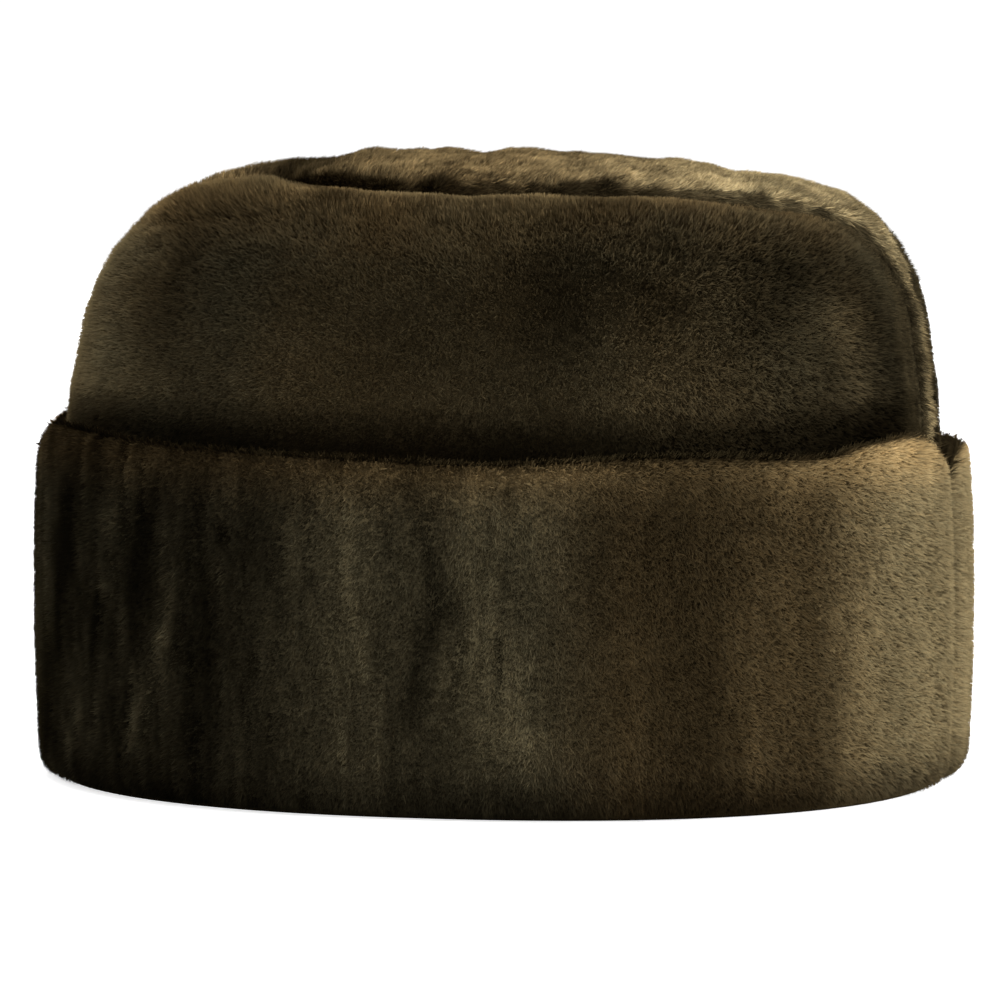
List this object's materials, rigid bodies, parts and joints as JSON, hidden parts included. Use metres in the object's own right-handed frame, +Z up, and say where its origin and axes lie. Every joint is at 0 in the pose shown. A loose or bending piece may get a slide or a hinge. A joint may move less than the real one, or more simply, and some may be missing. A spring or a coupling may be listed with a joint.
{
  "type": "ushanka",
  "caption": "Winter hat in short dense fur: a rounded crown with seams running over the top, and a tall turned-up fur cuff all round.",
  "frame": {"origin": "on the surface that the hat stands on, under the middle of its outline", "axes": "+X along the head's length, +Y across it, +Z up through the crown"},
  "size_m": [0.2641, 0.2296, 0.175],
  "materials": {
    "crown_fur": "sheared fur, dark brown pile with paler tips",
    "strip_fur": "sheared fur, brown pile with pale tan tips",
    "cuff_fur": "sheared fur, brown to olive pile in soft streaks"
  },
  "bodies": {
    "root": {"crown_side_near": "crown_fur", "crown_side_far": "crown_fur", "crown_strip": "strip_fur", "cuff_near": "cuff_fur", "cuff_far": "cuff_fur"}
  },
  "joints": []
}
